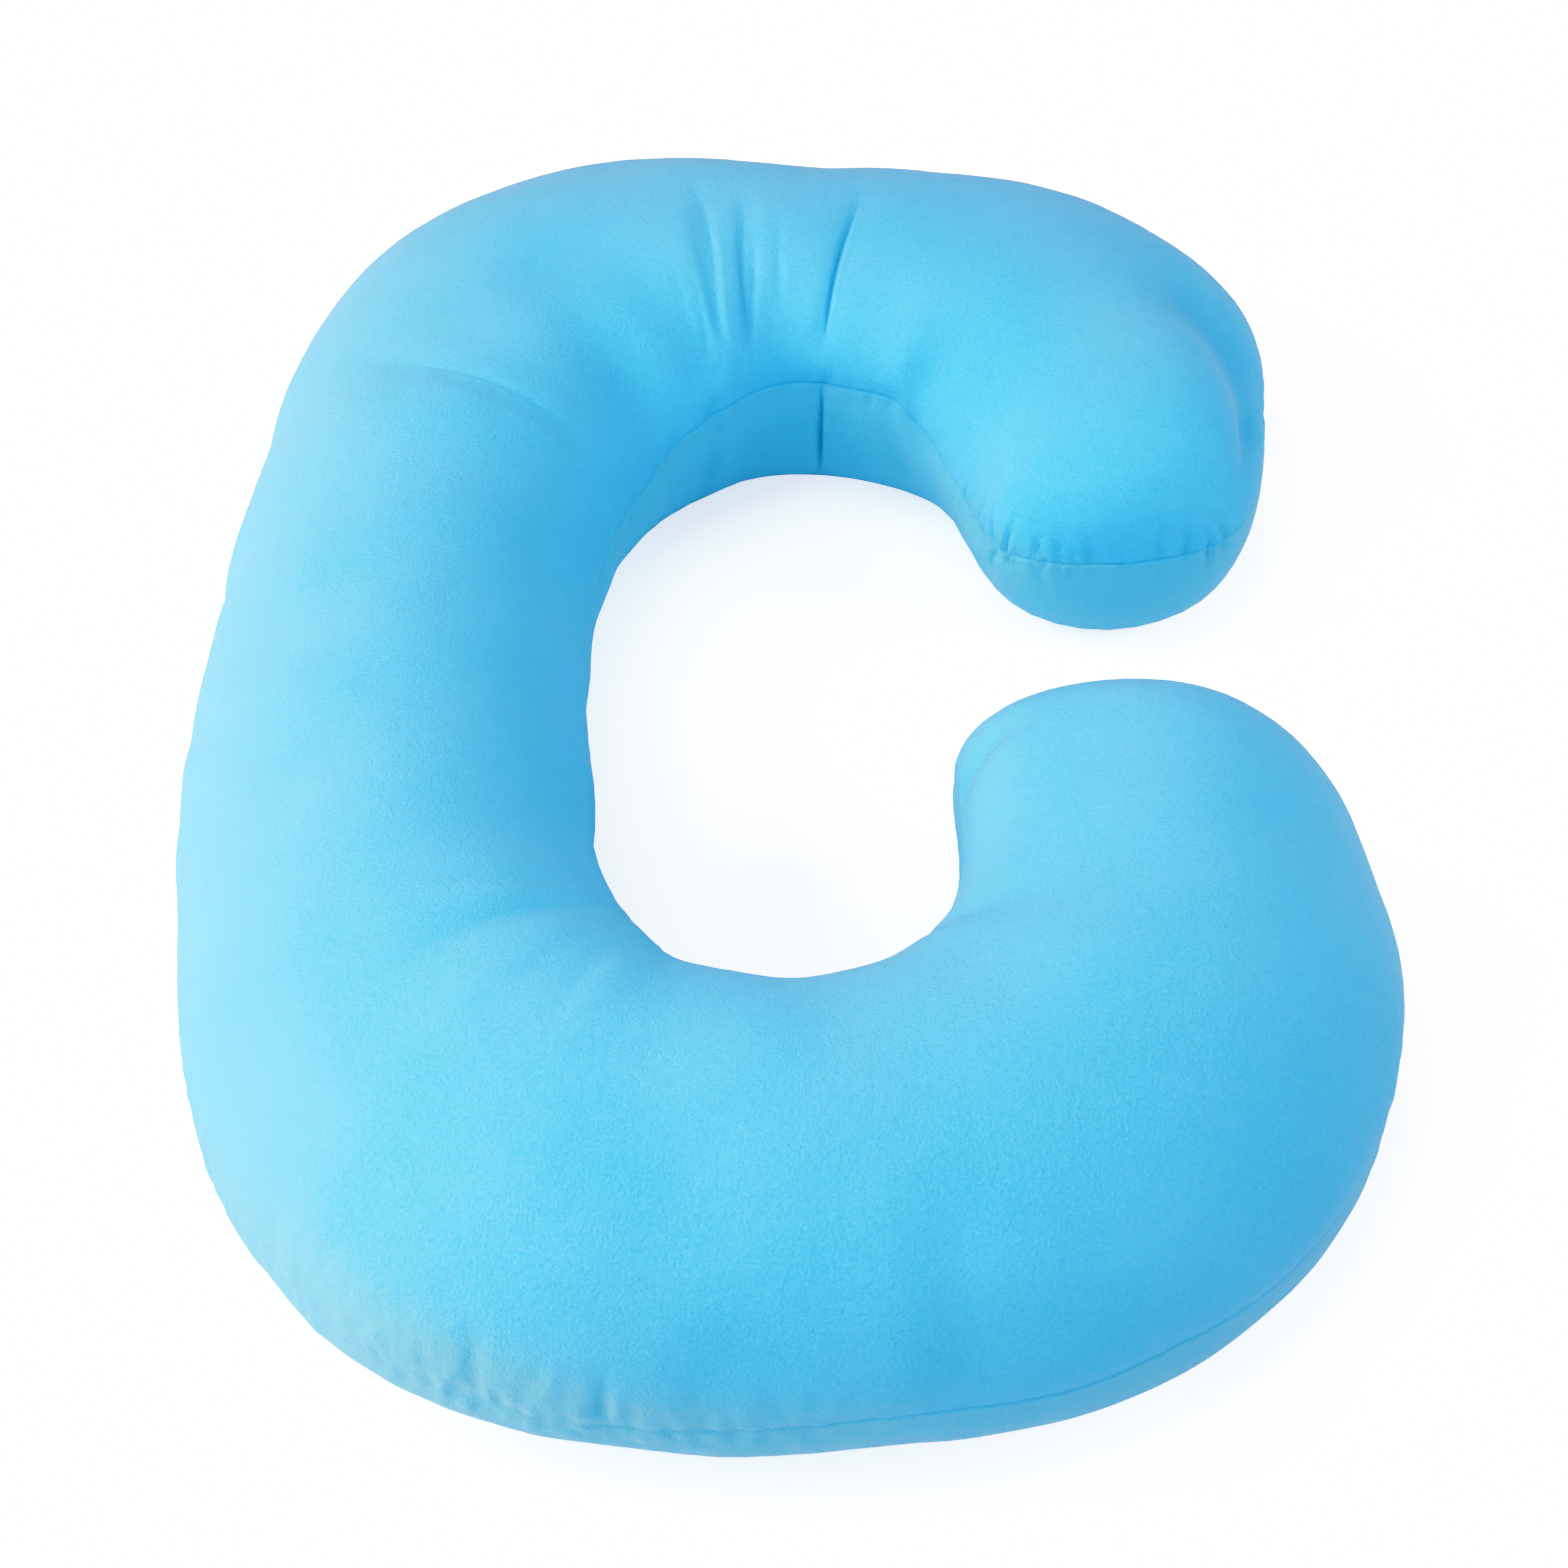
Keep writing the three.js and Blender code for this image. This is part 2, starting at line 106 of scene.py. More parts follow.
# Folds and dents. start and end are places on the skin: a section number, with its fraction, and an
# angle round the arm, 0 at the outer seam, 90 on the crown and 180 at the inner seam. width and depth
# are the broad hollow's; a negative depth makes a ridge. core and cut are the half width and depth of
# the sharp line in its bottom, and bow how far that line curves. lift is how high the fabric stands up
# beside the line, and its sign says on which side.
FOLDS = [
    dict(at="crown, strong crease", start=(3.51, 92), end=(3.66, 156), width=16, depth=2.6, core=2.8,
         cut=4.6, bow=2, lift=-0.9),
    dict(at="crown, first fold", start=(4.2, 115), end=(4.38, 152), width=10, depth=1.9, core=3.4,
         cut=1.7, bow=0, lift=-0.6),
    dict(at="crown, second fold", start=(4.22, 97), end=(4.4, 148), width=11, depth=2.4, core=3.6,
         cut=2.0, bow=4, lift=-0.7),
    dict(at="crown, third fold", start=(4.47, 88), end=(4.79, 143), width=13, depth=3.2, core=4.0,
         cut=2.2, bow=-7, lift=-0.8),
    dict(at="crown, faint fold", start=(4.03, 112), end=(4.05, 140), width=10, depth=0.8, core=4.6,
         cut=0.6, bow=0, lift=-0.3),
    dict(at="crown, fourth fold", start=(4.82, 122), end=(5.03, 150), width=11, depth=1.0, core=4,
         cut=0.8, bow=0, lift=-0.4),
    dict(at="crown, fifth fold", start=(4.93, 118), end=(5.12, 140), width=11, depth=0.8, core=4,
         cut=0.5, bow=0, lift=-0.3),
    dict(at="crown, wide hollow", start=(5.35, 88), end=(5.1, 150), width=55, depth=6, core=20,
         cut=0, bow=0, lift=0),
    dict(at="back corner, valley", start=(5.64, 94), end=(5.82, 138), width=45, depth=5, core=20,
         cut=0, bow=0, lift=0),
    dict(at="inner wall, crease", start=(3.67, 181), end=(3.71, 238), width=8, depth=2.5, core=1.9,
         cut=8, bow=0, lift=-1.0),
    dict(at="inner wall, right", start=(2.44, 182), end=(2.27, 204), width=70, depth=3, core=30,
         cut=0, bow=0, lift=0),
    dict(at="inner wall, far right", start=(1.75, 184), end=(1.5, 206), width=30, depth=1.5, core=10,
         cut=0, bow=0, lift=0),
    dict(at="inner wall, left", start=(5.2, 178), end=(5.15, 214), width=24, depth=4, core=9,
         cut=0, bow=0, lift=0),
    dict(at="back corner, crease", start=(6.42, 74), end=(6.5, 138), width=17, depth=2.0, core=3.2,
         cut=1.2, bow=-8, lift=-0.1),
    dict(at="left side, notch", start=(7.33, -12), end=(7.33, 28), width=18, depth=3, core=6,
         cut=1.2, bow=0, lift=-0.3),
    dict(at="left side, slant", start=(8.05, 18), end=(8.3, 40), width=18, depth=2, core=7,
         cut=0.6, bow=0, lift=-0.2),
    dict(at="left side, slant, fainter", start=(8.35, 14), end=(8.6, 38), width=14, depth=1.2, core=6,
         cut=0.4, bow=0, lift=-0.2),
    dict(at="near corner, valley", start=(9.66, 92), end=(9.69, 124), width=20, depth=2.4, core=8,
         cut=0.7, bow=-4, lift=0.5),
    dict(at="near corner, ridge", start=(9.98, 86), end=(9.86, 118), width=20, depth=-1.5, core=9,
         cut=-0.4, bow=8, lift=0),
    dict(at="near corner, hollow", start=(10.32, 98), end=(10.18, 126), width=18, depth=1.2, core=8,
         cut=0.4, bow=4, lift=0.3),
    dict(at="near corner, small fold", start=(9.42, 104), end=(9.48, 126), width=12, depth=0.9, core=5,
         cut=0.4, bow=0, lift=0.2),
    dict(at="near edge, gather 1", start=(9.94, 3), end=(9.96, 26), width=14, depth=0.7, core=5.5,
         cut=1.2, bow=2, lift=-0.5),
    dict(at="near edge, gather 2", start=(10.14, 3), end=(10.12, 20), width=13, depth=0.6, core=5,
         cut=1.0, bow=-2, lift=-0.4),
    dict(at="near edge, gather 3", start=(10.57, 2), end=(10.55, 28), width=15, depth=0.9, core=4.5,
         cut=1.1, bow=2, lift=-0.6),
    dict(at="near edge, gather 4", start=(10.98, -6), end=(10.95, 20), width=12, depth=1.0, core=3.2,
         cut=1.8, bow=-3, lift=-1.0),
    dict(at="near edge, gather 5", start=(11.25, 0), end=(11.23, 20), width=14, depth=0.6, core=5.5,
         cut=0.9, bow=0, lift=-0.4),
    dict(at="near side, soft fold", start=(12.08, 8), end=(12.1, 50), width=24, depth=2.5, core=9,
         cut=0.4, bow=0, lift=0),
    dict(at="near head, inner tuck", start=(15.28, 166), end=(15.46, 138), width=13, depth=4, core=4,
         cut=3.4, bow=-2, lift=0.8),
    dict(at="far head, dent", start=(1.58, 50), end=(0.92, 26), width=44, depth=15, core=14,
         cut=0, bow=0, lift=0),
    dict(at="far head, outer tuck", start=(1.2, 14), end=(0.6, 28), width=18, depth=5, core=5,
         cut=0.8, bow=0, lift=0),
    dict(at="far head, inner tuck", start=(0.75, 180), end=(0.6, 205), width=13, depth=3.5, core=5,
         cut=0.6, bow=0, lift=0),
]
FOLD_SHOULDER = 0.3

# The section of a fold's sharp line: a round bottom and a pointed one added, which thin out towards
# the line's ends, and the raised fabric beside it. Distances are in half widths of the line.
LINE_SHAPE = dict(round_share=0.6, pointed_share=0.4, pointed_fall=2.2, taper=0.7, lift_at=1.9,
                  lift_width=1.3)

# The filling is never quite even: slow waves over the surface, as in the solid.
UNEVENNESS = [
    dict(along=7, round=1, start=0.4, rise=1.5),
    dict(along=11, round=2, start=2.1, rise=1.1),
    dict(along=17, round=3, start=4.3, rise=0.7),
]

# Gathers where the fabric is eased into the seam. Each row is a stretch of the seam, from one section
# number and side to another, with the gathers' usual spacing, half width, depth and reach from the
# seam. A stretch that starts on the inner side and ends on the outer one runs round a head's tip. line
# is how plainly the sewn line shows in the middle of the stretch, from 0 to 1.
GATHERS = [
    dict(at="far head, inner side", start=(1.1, "inner"), end=(0.3, "inner"), spacing=8.5, width=2.2,
         depth=3.3, reach=18, line=0.3),
    dict(at="far head, front", start=(0.3, "inner"), end=(0.25, "outer"), spacing=11, width=2.3,
         depth=3.2, reach=18, line=0.7),
    dict(at="far head, outer side", start=(0.25, "outer"), end=(2.6, "outer"), spacing=19, width=4.2,
         depth=0.7, reach=20, line=0.35),
    dict(at="far side, outer", start=(2.6, "outer"), end=(6.6, "outer"), spacing=24, width=4.6,
         depth=0.5, reach=20, line=0.4),
    dict(at="left side, outer", start=(6.6, "outer"), end=(9.4, "outer"), spacing=26, width=4.6,
         depth=0.4, reach=20, line=0.3),
    dict(at="near corner, outer", start=(9.4, "outer"), end=(11.6, "outer"), spacing=13, width=4.0,
         depth=0.9, reach=24, line=0.2),
    dict(at="near side, outer", start=(11.6, "outer"), end=(13.6, "outer"), spacing=22, width=4.0,
         depth=0.35, reach=17, line=0.8),
    dict(at="near head, outer", start=(13.6, "outer"), end=(15.6, "outer"), spacing=20, width=4.2,
         depth=0.6, reach=20, line=0.4),
    dict(at="near head, tip", start=(15.6, "outer"), end=(15.3, "inner"), spacing=14, width=3.4,
         depth=0.9, reach=20, line=0.5),
    dict(at="near head, inner", start=(15.3, "inner"), end=(13.2, "inner"), spacing=17, width=3.8,
         depth=0.7, reach=22, line=0.4),
    dict(at="near side, inner", start=(13.2, "inner"), end=(9.2, "inner"), spacing=20, width=4.2,
         depth=0.6, reach=24, line=0.4),
    dict(at="left side, inner", start=(9.2, "inner"), end=(6.4, "inner"), spacing=23, width=4.2,
         depth=0.5, reach=20, line=0.35),
    dict(at="far side, inner", start=(6.4, "inner"), end=(1.1, "inner"), spacing=18, width=3.8,
         depth=0.45, reach=18, line=0.7),
]
GATHER_SEED = 11

# How unlike one another the gathers of a stretch are: each draws its own share of the stretch's
# values between these two, and leans by its slant.
GATHER_SPREAD = dict(width=(0.7, 1.5), depth=(0.25, 1.5), above=(0.45, 1.5), below=(0.4, 1.3),
                     slant=(-0.35, 0.35), spacing=(0.55, 1.6))

# The form of one gather: it widens away from the seam, stands up a little on both sides, and is
# shallower right at the stitches. None reaches further than limit from the seam.
GATHER_SHAPE = dict(limit=75, widening=45, side_rise=0.42, side_at=2.0, side_width=0.95,
                    loss_at_seam=0.45, loss_reach=3.0)

# The sewn line itself: a narrow cut between the two panels, and the stitches that hold it.
SEAM_CUT_DEPTH = 1.3
SEAM_CUT_HALF_WIDTH = 1.1
SEAM_LIP_HEIGHT = 0.35
SEAM_LIP_AT = 3.2
SEAM_LIP_HALF_WIDTH = 1.8
STITCH_LENGTH = 3.4

# Paler, greyer patches of the pile, partly where it is brushed the other way and partly painted sheen:
# the place of each one's middle, its half length along the arm and half width round it in millimetres,
# and its strength.
BRUSHED_AND_SHEEN = [
    dict(at="near corner, edge", place=(10.5, 10), along=115, around=44, strength=1.0),
    dict(at="near side, edge", place=(11.3, 2), along=90, around=30, strength=0.6),
    dict(at="far head, inner pleats", place=(0.55, 186), along=70, around=36, strength=0.8),
    # A painted highlight along the far head's ridge.
    dict(at="far head, ridge", place=(1.5, 86), along=110, around=48, strength=0.25),
    dict(at="near head, inner tuck", place=(15.4, 150), along=60, around=40, strength=0.4),
    dict(at="left side, inner wall", place=(9.2, 150), along=330, around=75, strength=0.35),
]
# Painted sheen: below the seam the whole lower panel is made paler and greyer all round, from this far
# on.
LOWER_PANEL_SHEEN = 0.8
LOWER_PANEL_SHEEN_FROM = 4

# Where the photograph shows the fabric taut and even, the filling's own bulges are left out.
TAUT = [
    dict(at="near corner, inner wall", place=(9.9, 165), along=190, around=130, strength=1.0),
]

# Lumps of the filling under the fabric, its finer ripples, and the crumpled pile of the paler patches.
# Each is a sum of waves in all directions, from the longest to the shortest.
LUMPS = dict(seed=5, count=40, longest=150, shortest=55, rise=0.35)
RIPPLES = dict(seed=6, count=48, longest=38, shortest=14, rise=0.07)
CRUMPLES = dict(seed=8, count=60, longest=24, shortest=9, rise=0.45)

# Fine forms fade out near the surface that the pillow rests on, below these heights, and at the
# heads' very tips, within this distance of them.
FREE_HEIGHT = 25
PRESSED_HEIGHT = 4
CALM_TIP = 12

# How deep sharp lines, gathers and broad hollows are where the painted shade in them is full.
FULL_SHADE = dict(line=6, gather=3, broad=15)

# The fine skin's grid: angles from a seam towards the crown, and towards the middle of the underside,
# then the rings along the arm, and how many of them round off each head.
CROWN_STEPS = [0.35, 0.8, 1.35, 2.0, 2.8, 3.8, 5.1, 6.8, 8.9, 11.3, 14.1, 17.5, 21.4, 25.8, 30.7,
               36, 41.6, 47.4, 53.3, 59.3, 65.4, 71.5, 77.6, 83.8]
UNDERSIDE_STEPS = [0.35, 0.8, 1.35, 2.0, 2.8, 3.8, 5.1, 6.8, 8.9, 11.4, 14.6, 18.4, 23, 28.5, 35,
                   43, 53, 65, 77]
RINGS = 1010
HEAD_RINGS = 52
RINGS_CLOSER_AT_FOLDS = 0.7
FOLD_NEIGHBOURHOOD = 30
RING_TABLE_SIZE = 4000
SPINE_SAMPLES = 1600
HEADING_STEP = 0.01
LAST_ROW = len(SECTIONS) - 1


def blend_rows(key, place):
    """A smooth curve through one column of the sections; place runs from 0 to the last row."""
    rows = np.array([row[key] for row in SECTIONS], float)
    ends = (2 * rows[0] - rows[1], 2 * rows[-1] - rows[-2])
    value = np.concatenate([[ends[0]], rows, [ends[1]]])
    place = np.asarray(place, float)
    i = np.clip(np.floor(place).astype(int), 0, LAST_ROW - 1)
    f = place - i
    before = (1 - f) ** 3
    first = 3 * f**3 - 6 * f**2 + 4
    second = -3 * f**3 + 3 * f**2 + 3 * f + 1
    return (before * value[i] + first * value[i + 1] + second * value[i + 2] + f**3 * value[i + 3]) / 6


PLACES = np.linspace(0, LAST_ROW, SPINE_SAMPLES + 1)
SPINE_STEPS = np.hypot(np.diff(blend_rows("x", PLACES)), np.diff(blend_rows("y", PLACES)))
TRAVELLED = np.concatenate([[0], np.cumsum(SPINE_STEPS)])
SPINE_LENGTH = TRAVELLED[-1]


def place_at(distance):
    return np.interp(distance, TRAVELLED, PLACES)


def distance_at(place):
    return np.interp(place, PLACES, TRAVELLED)


def opened(from_tip, length, fullness):
    """How far a head has opened to its full size: 0 at its tip, 1 beyond its rounding."""
    short = np.maximum(0, 1 - from_tip / length)
    return (1 - short**fullness) ** (1 / fullness)


def opened_at(distance, side):
    far, near = HEADS["far"], HEADS["near"]
    from_far = opened(distance, far[side], far["fullness"])
    from_near = opened(SPINE_LENGTH - distance, near[side], near["fullness"])
    return from_far * from_near


def sections_at(distances):
    """Everything that is the same for all points of each section, as columns."""
    place = place_at(distances)
    ahead = np.minimum(place + HEADING_STEP, LAST_ROW)
    behind = np.maximum(place - HEADING_STEP, 0)
    dx = blend_rows("x", ahead) - blend_rows("x", behind)
    dy = blend_rows("y", ahead) - blend_rows("y", behind)
    length = np.hypot(dx, dy)
    seam_out, seam_in = blend_rows("seam_out", place), blend_rows("seam_in", place)
    columns = dict(
        distance=distances,
        x=blend_rows("x", place),
        y=blend_rows("y", place),
        outward_x=dy / length,
        outward_y=-dx / length,
        outer=blend_rows("outer", place) * opened_at(distances, "outer"),
        inner=blend_rows("inner", place) * opened_at(distances, "inner"),
        full_outer=blend_rows("outer", place),
        full_inner=blend_rows("inner", place),
        crown=opened_at(distances, "crown"),
        height=blend_rows("height", place),
        seam_middle=(seam_out + seam_in) / 2,
        seam_tilt=(seam_out - seam_in) / 2,
    )
    return {key: value[:, None] for key, value in columns.items()}


def round_mm(section, angle):
    """Distance round the arm from its crown, in millimetres; positive towards the inner seam."""
    half = np.where(angle > 90, section["full_inner"], section["full_outer"])
    return np.radians(angle - 90) * half


def fold_depth(section, angle, fine):
    """How deep the skin is pressed in by all folds together: broad hollows, or the sharp lines."""
    along = section["distance"]
    around = round_mm(section, angle)
    depth = np.zeros(np.broadcast(along, angle).shape)
    for fold in FOLDS:
        ends = []
        for place, at_angle in (fold["start"], fold["end"]):
            distance = distance_at(place)
            there = sections_at(np.array([float(distance)]))
            ends.append((float(distance), float(round_mm(there, np.array([[at_angle]]))[0, 0])))
        (a0, r0), (a1, r1) = ends
        length = math.hypot(a1 - a0, r1 - r0)
        ux, uy = (a1 - a0) / length, (r1 - r0) / length
        share = ((along - a0) * ux + (around - r0) * uy) / length
        cross = (along - a0) * uy - (around - r0) * ux
        beyond = np.maximum(0, np.maximum(-share, share - 1)) * length
        if fine:
            if fold["cut"] == 0:
                continue
            cross = cross - fold["bow"] * (4 * share * (1 - share)) * (beyond == 0)
            taper = np.clip(1 - (2 * share - 1) ** 2, 0, 1) ** LINE_SHAPE["taper"]
            q = cross / fold["core"]
            rounded = LINE_SHAPE["round_share"] * np.exp(-(q**2))
            pointed = LINE_SHAPE["pointed_share"] * np.exp(-np.abs(q) * LINE_SHAPE["pointed_fall"])
            line = fold["cut"] * (rounded + pointed)
            side = np.sign(fold["lift"]) * LINE_SHAPE["lift_at"]
            ridge = abs(fold["lift"]) * np.exp(-(((q - side) / LINE_SHAPE["lift_width"]) ** 2))
            depth += (line - ridge) * taper
        else:
            q = np.hypot(beyond, cross) / fold["width"]
            depth += fold["depth"] * (1 - FOLD_SHOULDER * q**2) * np.exp(-(q**2))
    return depth


def patch_share(patch, section, angle):
    """How strongly each point belongs to a soft-edged oval patch of the skin."""
    place, at_angle = patch["place"]
    middle = sections_at(np.array([float(distance_at(place))]))
    at_round = round_mm(middle, np.array([[at_angle]]))
    along_share = (section["distance"] - middle["distance"]) / patch["along"]
    around_share = (round_mm(section, angle) - at_round) / patch["around"]
    return patch["strength"] * np.exp(-((along_share**2 + around_share**2) ** 1.5))


def unevenness(distance, angle):
    rise = 0
    for wave in UNEVENNESS:
        along = 2 * math.pi * wave["along"] * distance / SPINE_LENGTH
        rise = rise + wave["rise"] * np.sin(along + wave["round"] * np.radians(angle) + wave["start"])
    return rise


def shown_share(angle):
    """1 where folds show, fading to 0 towards the middle of the underside."""
    up = np.sin(np.radians(angle))
    faded = (-up - FOLDS_FADE_FROM) / (FOLDS_GONE_AT - FOLDS_FADE_FROM)
    return 1 - np.clip(faded, 0, 1)


def skin(distances, angles):
    """Points of the skin, with broad folds, as an array of rings by angles by xyz."""
    section = sections_at(distances)
    angle = angles[None, :]
    across, up = np.cos(np.radians(angle)), np.sin(np.radians(angle))
    half = np.where(across > 0, section["outer"], section["inner"])
    seam = section["seam_middle"] + section["seam_tilt"] * across * section["crown"]
    above = (section["height"] - section["seam_middle"]) * np.maximum(up, 0)
    below = seam * UNDERSIDE_PRESS * np.maximum(-up, 0) ** UNDERSIDE_FULLNESS
    z = seam + (above - below) * section["crown"]
    from_seam = np.minimum(np.abs(angle), np.minimum(np.abs(angle - 180), np.abs(angle - 360)))
    groove = SEAM_DEPTH * np.exp(-((from_seam / SEAM_REACH_DEG) ** 2))
    signed = np.where(angle > 270, angle - 360, angle)
    pressed = fold_depth(section, signed, fine=False) - unevenness(section["distance"], angle)
    inward = (groove + pressed * shown_share(angle)) * section["crown"]
    sideways = half * across - inward * across
    z = np.maximum(0, z - inward * up)
    x = section["x"] + section["outward_x"] * sideways
    y = section["y"] + section["outward_y"] * sideways
    return np.stack([x, y, z], axis=-1)


def tip_points():
    """The point at each head's tip, where all the angles meet."""
    found = []
    for distance in (0.0, SPINE_LENGTH):
        s = sections_at(np.array([distance]))
        found.append([float(s["x"][0, 0]), float(s["y"][0, 0]), float(s["seam_middle"][0, 0])])
    return np.array(found)


def ring_angles(crown_steps, underside_steps):
    crown, underside = np.array(crown_steps), np.array(underside_steps)
    return np.concatenate([
        [0], crown, [90], 180 - crown[::-1], [180], 180 + underside, [270], 360 - underside[::-1],
    ])


def ring_distances(rings, head_rings):
    """Where the rings are: rounding off each head, and in between closer together at the folds."""
    far = max(HEADS["far"][key] for key in ("outer", "inner", "crown"))
    near = max(HEADS["near"][key] for key in ("outer", "inner", "crown"))
    share = 1 - np.cos(np.linspace(0, math.pi / 2, head_rings + 1)[1:])
    fine = np.linspace(far, SPINE_LENGTH - near, RING_TABLE_SIZE)
    closeness = np.ones_like(fine)
    for fold in FOLDS:
        middle = (distance_at(fold["start"][0]) + distance_at(fold["end"][0])) / 2
        from_fold = (fine - middle) / FOLD_NEIGHBOURHOOD
        closeness = np.maximum(closeness, 1 + RINGS_CLOSER_AT_FOLDS * np.exp(-(from_fold**2)))
    total = np.concatenate([[0], np.cumsum((closeness[1:] + closeness[:-1]) / 2)])
    between = np.interp(np.linspace(0, total[-1], rings - 2 * head_rings + 2), total, fine)[1:-1]
    return np.concatenate([far * share, between, SPINE_LENGTH - near * share[::-1]])


def ring_faces(rings, around):
    """Quads between the rings, and a fan of triangles at each tip, all facing outward."""
    j = np.arange(around)
    k = (j + 1) % around
    start = 1 + np.arange(rings)[:, None] * around
    a, d = start[:-1] + j, start[:-1] + k
    b, c = start[1:] + j, start[1:] + k
    quads = np.stack([a, b, c, d], axis=-1).reshape(-1, 4)
    last = 1 + rings * around
    far = np.stack([np.zeros_like(j), 1 + j, 1 + k], axis=-1)
    near = np.stack([start[-1, 0] + j, np.full_like(j, last), start[-1, 0] + k], axis=-1)
    return quads, np.concatenate([far, near])


def grid_normals(points):
    """Unit normals of a grid of rings by angles; the angles close up round the arm."""
    along = np.gradient(points, axis=0)
    around = np.roll(points, -1, axis=1) - np.roll(points, 1, axis=1)
    normal = np.cross(along, around)
    normal /= np.maximum(np.linalg.norm(normal, axis=-1, keepdims=True), 1e-9)
    return normal


def wave_field(points, seed, count, longest, shortest, rise):
    """A smooth random height over space, made of plane waves in all directions."""
    random = np.random.default_rng(seed)
    height = np.zeros(points.shape[:-1])
    for _ in range(count):
        direction = random.normal(size=3)
        direction /= np.linalg.norm(direction)
        length = math.exp(random.uniform(math.log(shortest), math.log(longest)))
        phase = random.uniform(0, 2 * math.pi)
        height += np.sin(points @ (direction * 2 * math.pi / length) + phase)
    return height * rise / math.sqrt(count / 2)


def seam_line(points, tips, inner_column):
    """The seam as one closed line: out from the far tip, to the near tip and back on the inner side.
    Returns its points, the distance along it, and that distance for each ring on both sides."""
    line = np.concatenate([tips[:1], points[:, 0], tips[1:], points[::-1, inner_column]])
    closed = np.concatenate([line, line[:1]])
    along = np.concatenate([[0], np.cumsum(np.linalg.norm(np.diff(closed, axis=0), axis=1))])
    rings = len(points)
    return line, along, along[1:rings + 1], along[rings + 2:2 * rings + 2][::-1]


def seam_places(points, line, along):
    """For each point, the nearest place on the seam: the distance to it and the distance along it."""
    tree = kdtree.KDTree(len(line))
    for i, p in enumerate(line):
        tree.insert(Vector(p), i)
    tree.balance()
    flat = points.reshape(-1, 3)
    nearest = np.array([tree.find(Vector(p))[1] for p in flat])
    best_away = np.full(len(flat), 1e9)
    best_along = np.zeros(len(flat))
    for start in (nearest - 1, nearest):
        a = start % len(line)
        b = (a + 1) % len(line)
        step = line[b] - line[a]
        share = ((flat - line[a]) * step).sum(-1) / np.maximum((step**2).sum(-1), 1e-12)
        share = np.clip(share, 0, 1)
        away = np.linalg.norm(flat - line[a] - share[:, None] * step, axis=1)
        closer = away < best_away
        best_away = np.where(closer, away, best_away)
        length = along[a + 1] - along[a]
        best_along = np.where(closer, along[a] + share * length, best_along)
    return best_away.reshape(points.shape[:-1]), best_along.reshape(points.shape[:-1])


def gather_list(distances, outer_along, inner_along, total):
    """Every gather of the seam: its place along it, half width, depth, reach and slant. Then the
    middle of each stretch."""
    random = np.random.default_rng(GATHER_SEED)
    tracks = {"outer": outer_along, "inner": inner_along}
    found, middles = [], []
    for zone in GATHERS:
        start, end = (
            float(np.interp(distance_at(place), distances, tracks[side]))
            for place, side in (zone["start"], zone["end"])
        )
        if end < start:
            end += total
        middles.append(((start + end) / 2) % total)
        at = start
        while at < end:
            found.append(dict(
                at=at % total,
                width=zone["width"] * random.uniform(*GATHER_SPREAD["width"]),
                depth=zone["depth"] * random.uniform(*GATHER_SPREAD["depth"]),
                above=zone["reach"] * random.uniform(*GATHER_SPREAD["above"]),
                below=zone["reach"] * random.uniform(*GATHER_SPREAD["below"]),
                slant=random.uniform(*GATHER_SPREAD["slant"]),
            ))
            at += zone["spacing"] * random.uniform(*GATHER_SPREAD["spacing"])
    return found, middles


def gather_depth(away, along, upper, gathers, total):
    """How deep the gathers press the skin in, and how high they lift it between them."""
    depth = np.zeros_like(away)
    near = np.where(away < GATHER_SHAPE["limit"])
    d, t, up = away[near], along[near], upper[near]
    sum_near = np.zeros_like(d)
    for g in gathers:
        reach = np.where(up, g["above"], g["below"])
        x = t - g["at"] - g["slant"] * d
        x = (x + total / 2) % total - total / 2
        width = g["width"] * (1 + d / GATHER_SHAPE["widening"])
        q = np.abs(x) / width
        from_side = (q - GATHER_SHAPE["side_at"]) / GATHER_SHAPE["side_width"]
        pleat = np.exp(-(q**2)) - GATHER_SHAPE["side_rise"] * np.exp(-(from_side**2))
        from_seam = d / GATHER_SHAPE["loss_reach"]
        kept = 1 - GATHER_SHAPE["loss_at_seam"] * np.exp(-(from_seam**2))
        fade = kept * np.exp(-((d / reach) ** 2))
        sum_near += g["depth"] * pleat * fade
    depth[near] = sum_near
    return depth


# The cloth simulation.
# A coarser skin starts inset from the fine one, in cloth that is a little too large, by ease, and is
# pressed out for some frames. No point counts as moved by more than cap. Of its movement, what a few
# smoothing passes leave and many take away is kept, smoothed again on the fine grid, by SIM_SHARE.
SIM = dict(rings=236, head_rings=14, inset=3.5, pressure=4.0, frames=20, cap=14.0, ease=-0.025)
SIM_SHARE = 0.4
SIM_RESTS_BELOW = 0.5
SIM_SEWN_HOLD = 0.6
SIM_WRINKLE_PASSES = 2
SIM_BROAD_PASSES = 14
SIM_BLEND_PASSES = 10
SIM_CROWN_STEPS = [4, 9, 14.5, 20.5, 27, 34, 41, 48.5, 56, 63.5, 71, 80]
SIM_UNDERSIDE_STEPS = [4, 9, 14.5, 20.5, 27, 34, 42, 52, 65]


def add_mesh(name, vertices, quads, triangles):
    mesh = bpy.data.meshes.new(name)
    mesh.from_pydata(vertices.tolist(), [], quads.tolist() + triangles.tolist())
    mesh.update()
    made = bpy.data.objects.new(name, mesh)
    bpy.context.scene.collection.objects.link(made)
    return made


